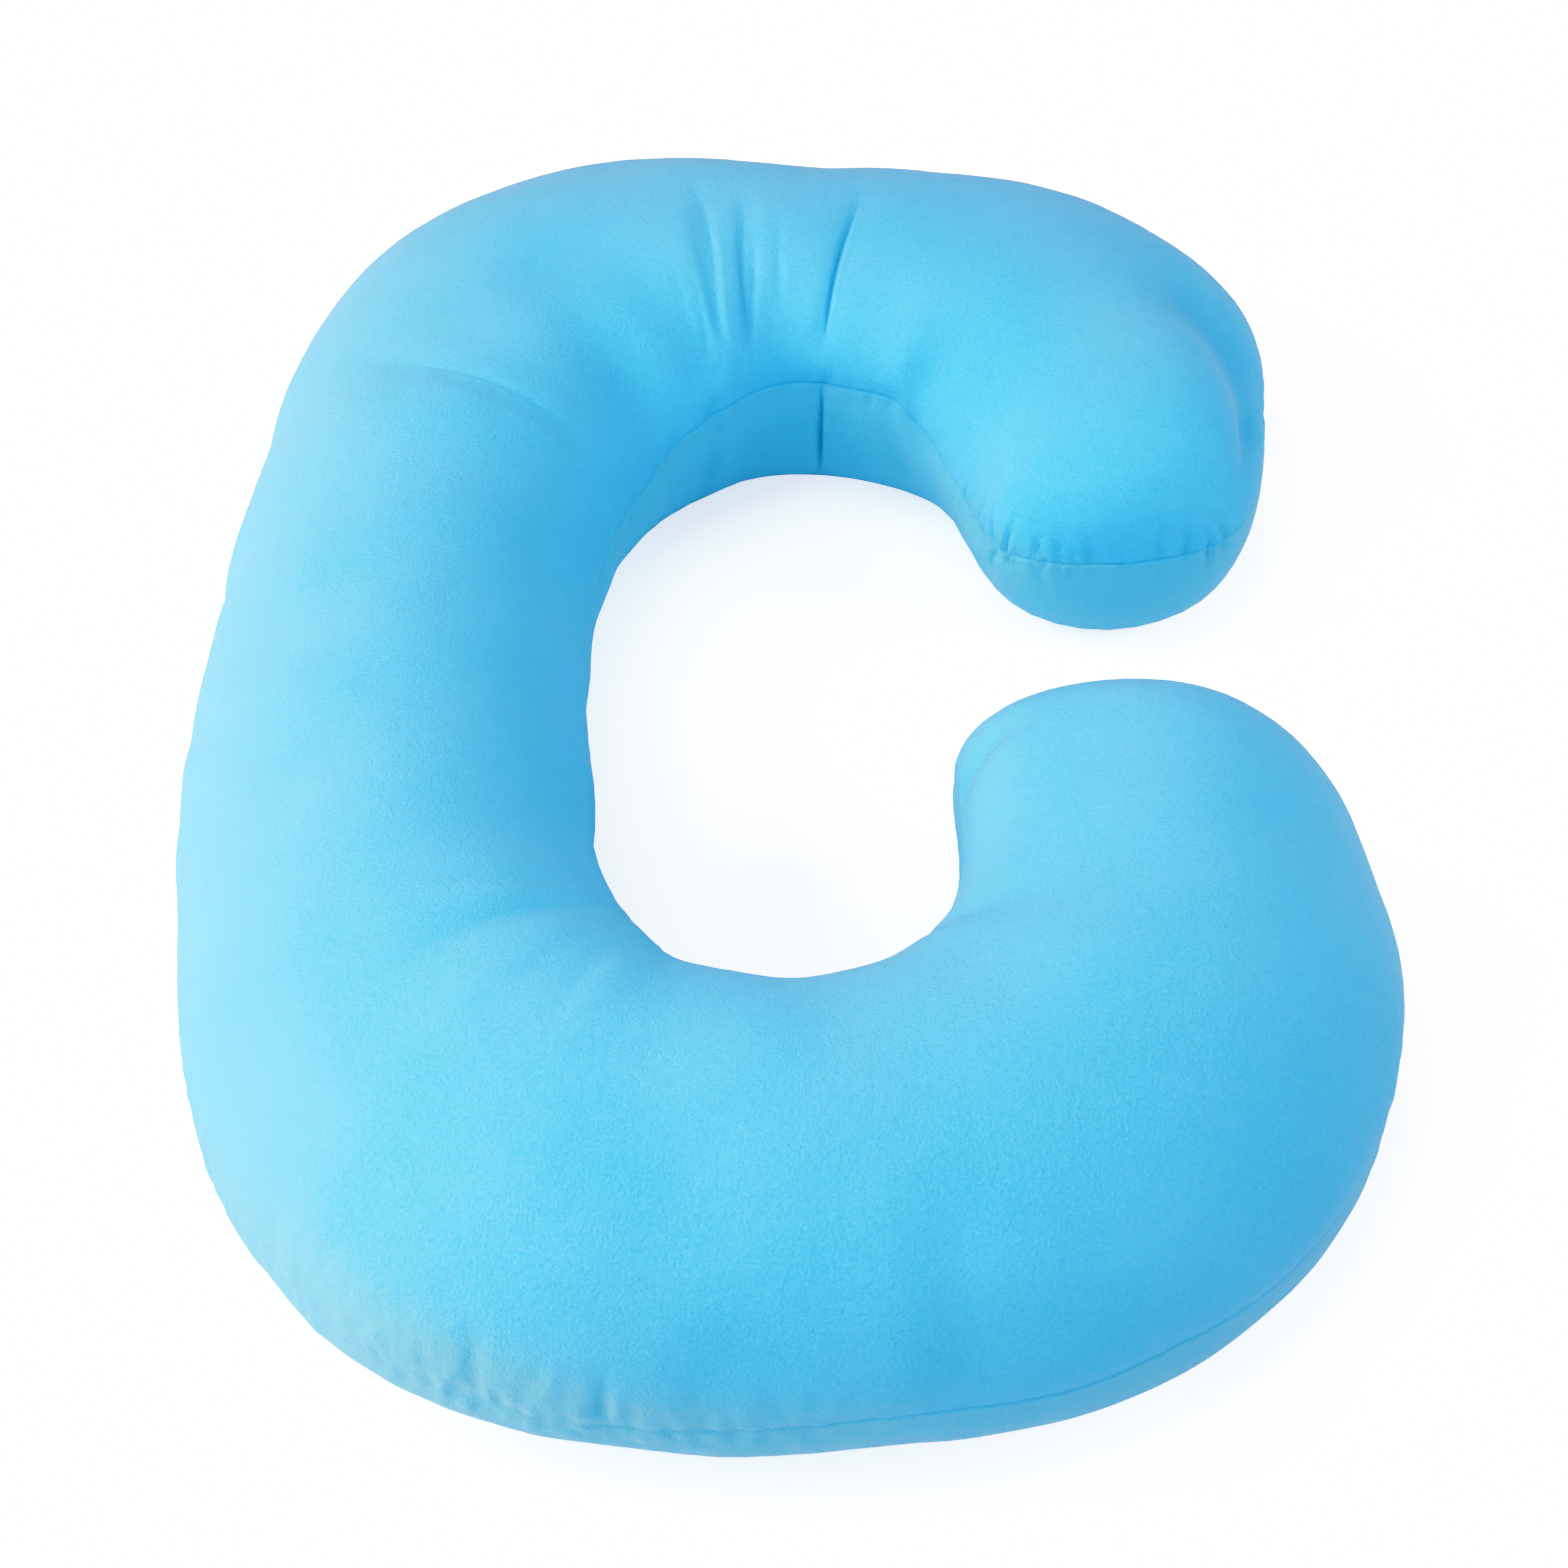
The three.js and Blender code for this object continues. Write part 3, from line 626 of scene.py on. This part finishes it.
def filled_shape():
    """Presses a coarser skin from inside with Blender's cloth, and returns how far each point of its
    grid moved along its normal, in millimetres, with the grid's distances and angles."""
    distances = ring_distances(SIM["rings"], SIM["head_rings"])
    angles = ring_angles(SIM_CROWN_STEPS, SIM_UNDERSIDE_STEPS)
    points = skin(distances, angles)
    normals = grid_normals(points)
    resting = points[..., 2] < SIM_RESTS_BELOW
    inset = np.where(resting[..., None], 0, SIM["inset"] * normals)
    start = points - inset
    tips = tip_points()
    vertices = np.concatenate([tips[:1], start.reshape(-1, 3), tips[1:]]) * MM
    quads, triangles = ring_faces(len(distances), len(angles))
    pad = add_mesh("pad_under_pressure", vertices, quads, triangles)
    held = pad.vertex_groups.new(name="held")
    flat = np.concatenate([[True], resting.reshape(-1), [True]])
    held.add([int(i) for i in np.nonzero(flat)[0]], 1.0, "REPLACE")
    seam_columns = [0, len(SIM_CROWN_STEPS) * 2 + 2]
    sewn = 1 + np.arange(len(distances))[:, None] * len(angles) + np.array(seam_columns)
    held.add([int(i) for i in sewn.ravel()], SIM_SEWN_HOLD, "REPLACE")
    cloth = pad.modifiers.new("filling", "CLOTH")
    settings = cloth.settings
    settings.quality = 5
    settings.mass = 0.3
    settings.tension_stiffness = 18
    settings.compression_stiffness = 12
    settings.shear_stiffness = 6
    settings.bending_stiffness = 0.6
    settings.use_pressure = True
    settings.uniform_pressure_force = SIM["pressure"]
    settings.vertex_group_mass = "held"
    settings.pin_stiffness = 1.0
    settings.shrink_min = SIM["ease"]
    settings.effector_weights.gravity = 0
    cloth.collision_settings.use_collision = False
    cloth.point_cache.frame_start = 1
    cloth.point_cache.frame_end = SIM["frames"]
    scene = bpy.context.scene
    for number in range(1, SIM["frames"] + 1):
        scene.frame_set(number)
    ready = pad.evaluated_get(bpy.context.evaluated_depsgraph_get())
    moved = np.zeros(len(ready.data.vertices) * 3)
    ready.data.vertices.foreach_get("co", moved)
    moved = moved.reshape(-1, 3)[1:-1].reshape(points.shape) / MM
    scene.frame_set(1)
    bpy.data.objects.remove(pad)
    step = ((moved - start) * normals).sum(-1)
    return distances, angles, np.clip(step, -SIM["cap"], SIM["cap"])


def smooth_rings(field, passes):
    """Averages a field on the grid with its neighbours, round and along."""
    for _ in range(passes):
        field = (np.roll(field, 1, 1) + 2 * field + np.roll(field, -1, 1)) / 4
        padded = np.concatenate([field[:1], field, field[-1:]])
        field = (padded[:-2] + 2 * padded[1:-1] + padded[2:]) / 4
    return field


def resample(field, from_distances, from_angles, distances, angles):
    """Carries a field from the coarse grid to the fine one."""
    wrapped = np.concatenate([from_angles, [360.0]])
    closed = np.concatenate([field, field[:, :1]], axis=1)
    along = np.stack([np.interp(distances, from_distances, column) for column in closed.T], axis=1)
    return np.stack([np.interp(angles, wrapped, row) for row in along])


# The pillow's own skin, with everything worked in.
distances = ring_distances(RINGS, HEAD_RINGS)
angles = ring_angles(CROWN_STEPS, UNDERSIDE_STEPS)
inner_column = 2 * len(CROWN_STEPS) + 2
points = skin(distances, angles)
tips = tip_points()
section = sections_at(distances)
signed_angles = np.where(angles > 270, angles - 360, angles)[None, :]

line, line_along, outer_along, inner_along = seam_line(points, tips, inner_column)
seam_total = line_along[-1]
away, along_seam = seam_places(points, line, line_along)
upper = np.broadcast_to((angles > 0) & (angles < 180), away.shape)
gathers, stretch_middles = gather_list(distances, outer_along, inner_along, seam_total)
gathered = gather_depth(away, along_seam, upper, gathers, seam_total)

# Paler, greyer pile colour: patches that are partly brushed pile and partly painted sheen.
brushed_and_sheen = sum(patch_share(patch, section, signed_angles) for patch in BRUSHED_AND_SHEEN)
crumpled = np.clip(brushed_and_sheen, 0, 1)
# Painted sheen over the whole lower panel, from a little below the seam.
brushed_and_sheen = brushed_and_sheen + LOWER_PANEL_SHEEN * ~upper * np.clip(away / LOWER_PANEL_SHEEN_FROM, 0, 1)

shown = shown_share(angles)[None, :]
free_height = np.clip(points[..., 2] / FREE_HEIGHT, 0, 1)
stretch_lines = [zone["line"] for zone in GATHERS]
line_shown = np.interp(along_seam, stretch_middles, stretch_lines, period=seam_total)
cut = line_shown * SEAM_CUT_DEPTH * np.exp(-((away / SEAM_CUT_HALF_WIDTH) ** 2))
lip = line_shown * SEAM_LIP_HEIGHT * np.exp(-(((away - SEAM_LIP_AT) / SEAM_LIP_HALF_WIDTH) ** 2))
creased = fold_depth(section, signed_angles, fine=True)
near_tip = np.minimum(distances, SPINE_LENGTH - distances)[:, None]
calm = np.clip(near_tip / CALM_TIP, 0, 1)
rise = -creased * shown * section["crown"]
rise = rise - gathered * calm
rise = rise + lip - cut
rise = rise + wave_field(points, **LUMPS) * free_height
rise = rise + wave_field(points, **RIPPLES) * free_height
rise = rise + wave_field(points, **CRUMPLES) * crumpled

sim_distances, sim_angles, swell = filled_shape()
own_shape = smooth_rings(swell, SIM_WRINKLE_PASSES) - smooth_rings(swell, SIM_BROAD_PASSES)
own_shape = resample(own_shape, sim_distances, sim_angles, distances, angles)
own_shape = smooth_rings(own_shape, SIM_BLEND_PASSES)
taut = sum(patch_share(patch, section, signed_angles) for patch in TAUT)
rise = rise + SIM_SHARE * own_shape * free_height * (1 - taut)

normals = grid_normals(points)
points = points + normals * (rise * np.clip(points[..., 2] / PRESSED_HEIGHT, 0, 1))[..., None]
points[..., 2] = np.maximum(points[..., 2], 0)

vertices = np.concatenate([tips[:1], points.reshape(-1, 3), tips[1:]])
box_low, box_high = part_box("pillow")
cad_middle = (np.array(box_low) + np.array(box_high)) / 2 / MM
own_middle = (vertices.max(0) + vertices.min(0)) / 2
vertices[:, :2] += (cad_middle - own_middle)[:2]
quads, triangles = ring_faces(len(distances), len(angles))
pillow = add_mesh("filled_pillow", vertices * MM, quads, triangles)
pillow.data.polygons.foreach_set("use_smooth", np.ones(len(pillow.data.polygons), bool))


def add_attribute(name, values, at_tips):
    attribute = pillow.data.attributes.new(name, "FLOAT", "POINT")
    data = np.concatenate([at_tips[:1], values.reshape(-1), at_tips[1:]])
    attribute.data.foreach_set("value", data.astype(np.float32))


far_tip_along, near_tip_along = 0.0, float(line_along[len(distances) + 1])
add_attribute("seam_away", away, [0.0, 0.0])
add_attribute("seam_along", along_seam, [far_tip_along, near_tip_along])
add_attribute("seam_shown", line_shown, [1.0, 0.5])
# Painted shade: how far the colour is darkened in the folds, gathers and broad hollows.
broad = fold_depth(section, signed_angles, fine=False)
shade = creased / FULL_SHADE["line"] + gathered / FULL_SHADE["gather"] + broad / FULL_SHADE["broad"]
add_attribute("painted_fold_shade", np.clip(shade, 0, 1), [0.0, 0.0])
add_attribute("brushed_and_sheen", np.clip(brushed_and_sheen, 0, 1), [0.0, 0.0])


# The colours of the pile, in linear light.
PILE = dict(
    blue=(0.138, 0.540, 0.862),
    paler_blue=(0.157, 0.560, 0.888),
    mottle=(0.200, 0.610, 0.860),
    speck=(0.120, 0.490, 0.760),
    # painted shade in folds, gathers and hollows
    shade_in_folds=(0.085, 0.400, 0.680),
    # paler, greyer pile: partly brushed the other way, partly painted sheen
    brushed_and_sheen=(0.192, 0.555, 0.675),
    # painted sheen, mixed in where the surface turns away from the view
    from_side=(0.226, 0.520, 0.638),
    in_seam=(0.080, 0.380, 0.660),
    thread=(0.190, 0.600, 0.860),
)

# How fine each noise of the pile is, in waves to the metre, and the range of noise that is used.
NOISE_SCALE = dict(patches=7, mottle=420, specks=900, tufts=130, roughness=60, nap=180, tuft_relief=480)
NOISE_LOW = 0.35
NOISE_HIGH = 0.65

# How far each colour is mixed in at most.
MOTTLE_SHARE = 0.45
PAINTED_FOLD_SHADE_SHARE = 0.45
SIDE_SHEEN_SHARE = 0.75
IN_SEAM_SHARE = 0.3
THREAD_SHARE = 0.35


def velour():
    """Short-pile knit: mottled pile that catches light at its edges, with painted shade in its folds,
    painted sheen in paler patches and towards grazing angles, and sewn stitches.
    """
    material = bpy.data.materials.new("velour_blue")
    material.use_nodes = True
    nodes, links = material.node_tree.nodes, material.node_tree.links
    shader = nodes["Principled BSDF"]
    place = nodes.new("ShaderNodeTexCoord").outputs["Object"]

    def noise(scale, detail=2.0, roughness=0.5):
        node = nodes.new("ShaderNodeTexNoise")
        node.inputs["Scale"].default_value = scale
        node.inputs["Detail"].default_value = detail
        node.inputs["Roughness"].default_value = roughness
        links.new(place, node.inputs["Vector"])
        return node.outputs["Fac"]

    def math_node(operation, a, b=None, clamp=False):
        node = nodes.new("ShaderNodeMath")
        node.operation = operation
        node.use_clamp = clamp
        for socket, value in zip(node.inputs, (a, b)):
            if value is None:
                continue
            if isinstance(value, (int, float)):
                socket.default_value = value
            else:
                links.new(value, socket)
        return node.outputs[0]

    def spread(value, low, high, to_low, to_high):
        node = nodes.new("ShaderNodeMapRange")
        links.new(value, node.inputs["Value"])
        ranges = {"From Min": low, "From Max": high, "To Min": to_low, "To Max": to_high}
        for name, number in ranges.items():
            node.inputs[name].default_value = number
        return node.outputs["Result"]

    def mix(share, a, b):
        node = nodes.new("ShaderNodeMix")
        node.data_type = "RGBA"
        links.new(share, node.inputs["Factor"])
        for socket, value in ((node.inputs["A"], a), (node.inputs["B"], b)):
            if isinstance(value, tuple):
                socket.default_value = (*value, 1)
            else:
                links.new(value, socket)
        return node.outputs["Result"]

    def attribute(name):
        node = nodes.new("ShaderNodeAttribute")
        node.attribute_name = name
        return node.outputs["Fac"]

    # Colour: two blues in soft patches, where the pile leans one way or the other, then fine mottling.
    patches = spread(noise(NOISE_SCALE["patches"], 2), NOISE_LOW, NOISE_HIGH, 0, 1)
    colour = mix(patches, PILE["blue"], PILE["paler_blue"])
    mottle = spread(noise(NOISE_SCALE["mottle"], 3, 0.65), NOISE_LOW, NOISE_HIGH, 0, 1)
    colour = mix(math_node("MULTIPLY", mottle, MOTTLE_SHARE), colour, PILE["mottle"])
    specks = spread(noise(NOISE_SCALE["specks"], 2, 0.6), 0.55, 0.75, 0, 0.3)
    colour = mix(specks, colour, PILE["speck"])
    # Painted shade: the colour darkens where folds, gathers and broad hollows are deep.
    shade_in_folds = math_node("MULTIPLY", attribute("painted_fold_shade"), PAINTED_FOLD_SHADE_SHARE, clamp=True)
    colour = mix(shade_in_folds, colour, PILE["shade_in_folds"])

    # Paler patches, partly brushed pile and partly painted sheen, broken up by tufts; and painted
    # sheen, a greyer pile colour where the surface turns from the view.
    facing = nodes.new("ShaderNodeLayerWeight")
    facing.inputs["Blend"].default_value = 0.3
    from_side = math_node("MULTIPLY", facing.outputs["Facing"], SIDE_SHEEN_SHARE, clamp=True)
    tufts = spread(noise(NOISE_SCALE["tufts"], 4, 0.65), NOISE_LOW, NOISE_HIGH, 0.65, 1.0)
    brushed_and_sheen_share = math_node("MULTIPLY", attribute("brushed_and_sheen"), tufts, clamp=True)
    colour = mix(brushed_and_sheen_share, colour, PILE["brushed_and_sheen"])
    colour = mix(from_side, colour, PILE["from_side"])

    # Stitches: short threads across the bottom of the seam.
    near_seam = spread(attribute("seam_away"), 0.2, SEAM_CUT_HALF_WIDTH, 1, 0)
    in_seam = math_node("MULTIPLY", near_seam, attribute("seam_shown"))
    along_turns = math_node("MULTIPLY", attribute("seam_along"), 2 * math.pi / STITCH_LENGTH)
    thread = spread(math_node("SINE", along_turns), -0.2, 0.5, 0, 1)
    stitch = math_node("MULTIPLY", in_seam, thread)
    colour = mix(math_node("MULTIPLY", in_seam, IN_SEAM_SHARE), colour, PILE["in_seam"])
    colour = mix(math_node("MULTIPLY", stitch, THREAD_SHARE), colour, PILE["thread"])
    links.new(colour, shader.inputs["Base Color"])

    roughness = spread(noise(NOISE_SCALE["roughness"], 2), 0.3, 0.7, 0.82, 0.97)
    links.new(roughness, shader.inputs["Roughness"])
    shader.inputs["Sheen Weight"].default_value = 0.1
    shader.inputs["Sheen Roughness"].default_value = 0.42
    shader.inputs["Sheen Tint"].default_value = (0.5, 0.85, 1, 1)
    shader.inputs["Specular IOR Level"].default_value = 0.2

    # Relief: the soft nap, the finer tufts over it, and the raised threads.
    def bump(height, strength, distance, below=None):
        node = nodes.new("ShaderNodeBump")
        node.inputs["Strength"].default_value = strength
        node.inputs["Distance"].default_value = distance
        links.new(height, node.inputs["Height"])
        if below is not None:
            links.new(below, node.inputs["Normal"])
        return node.outputs["Normal"]

    relief = bump(noise(NOISE_SCALE["nap"], 3, 0.6), 0.3, 0.0016)
    relief = bump(noise(NOISE_SCALE["tuft_relief"], 3, 0.65), 0.7, 0.0011, relief)
    relief = bump(stitch, 0.6, 0.0006, relief)
    links.new(relief, shader.inputs["Normal"])
    return material


pillow.data.materials.append(velour())
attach(pillow, "root")
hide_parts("pillow")

# The floor is a wide sheet of pale paper.
FLOOR_SIDE = 30
floor_mesh = bpy.data.meshes.new("floor")
half_floor = FLOOR_SIDE / 2
floor_mesh.from_pydata(
    [(-half_floor, -half_floor, 0), (half_floor, -half_floor, 0), (half_floor, half_floor, 0),
     (-half_floor, half_floor, 0)], [], [(0, 1, 2, 3)])
floor = bpy.data.objects.new("floor", floor_mesh)
bpy.context.scene.collection.objects.link(floor)
floor_material = bpy.data.materials.new("floor_paper")
floor_material.use_nodes = True
floor_nodes = floor_material.node_tree.nodes
floor_links = floor_material.node_tree.links
floor_shader = floor_nodes["Principled BSDF"]
floor_shader.inputs["Base Color"].default_value = (0.93, 0.93, 0.93, 1)
floor_shader.inputs["Roughness"].default_value = 0.9
floor_shader.inputs["Specular IOR Level"].default_value = 0.1
# The paper glows a little, as on a lit table, so that the shadows on it stay pale.
FLOOR_GLOW = 0.15
FLOOR_GLOW_SEEN = 0.6
seen = floor_nodes.new("ShaderNodeLightPath").outputs["Is Camera Ray"]
glow = floor_nodes.new("ShaderNodeMapRange")
floor_links.new(seen, glow.inputs["Value"])
glow.inputs["To Min"].default_value = FLOOR_GLOW
glow.inputs["To Max"].default_value = FLOOR_GLOW_SEEN
floor_shader.inputs["Emission Color"].default_value = (1, 1, 1, 1)
floor_links.new(glow.outputs["Result"], floor_shader.inputs["Emission Strength"])
floor_mesh.materials.append(floor_material)

# Softboxes: where each is, its side length and power. All point at the pillow.
LIGHTS = [
    dict(name="key_left", at=(-2.6, 0.0, 1.5), side=1.8, power=60),
    dict(name="front_left", at=(-1.6, -2.4, 1.8), side=2.0, power=40),
    dict(name="top", at=(-0.6, -0.3, 2.8), side=2.2, power=33),
    dict(name="right", at=(2.6, -0.4, 1.5), side=1.8, power=37),
    dict(name="back_low", at=(1.2, 2.7, 0.9), side=1.5, power=22),
]
for light in LIGHTS:
    data = bpy.data.lights.new(light["name"], "AREA")
    data.shape = "SQUARE"
    data.size = light["side"]
    data.energy = light["power"]
    lamp = bpy.data.objects.new(light["name"], data)
    lamp.location = light["at"]
    aim = Vector((0, 0, 0.1)) - Vector(light["at"])
    lamp.rotation_mode = "QUATERNION"
    lamp.rotation_quaternion = aim.to_track_quat("-Z", "Y")
    bpy.context.scene.collection.objects.link(lamp)

world = bpy.data.worlds.new("studio")
world.use_nodes = True
background = world.node_tree.nodes["Background"]
background.inputs["Color"].default_value = (1, 1, 1, 1)
background.inputs["Strength"].default_value = 0.04
bpy.context.scene.world = world

# The photograph's tone: for each channel, how scene light turns into picture light. Shades keep a
# deep blue and highlights pale towards white.
TONE = dict(
    red=[(0.10, 0.020), (0.14, 0.058), (0.175, 0.120), (0.21, 0.214), (0.26, 0.332), (0.40, 0.460),
         (0.65, 0.665), (1.0, 0.92)],
    green=[(0.35, 0.335), (0.50, 0.497), (0.60, 0.625), (0.68, 0.708), (0.76, 0.763), (0.84, 0.80),
           (1.0, 0.91)],
    blue=[(0.25, 0.36), (0.50, 0.62), (0.75, 0.795), (1.0, 0.925)],
)
BRIGHTEST = 1.35
view = bpy.context.scene.view_settings
view.view_transform = "Standard"
view.use_curve_mapping = True
tone = view.curve_mapping
tone.clip_max_x = BRIGHTEST
tone.extend = "HORIZONTAL"
for curve, places in zip(tone.curves, (TONE["red"], TONE["green"], TONE["blue"])):
    curve.points[-1].location = (BRIGHTEST, 1)
    for place in places:
        curve.points.new(*place)
tone.update()
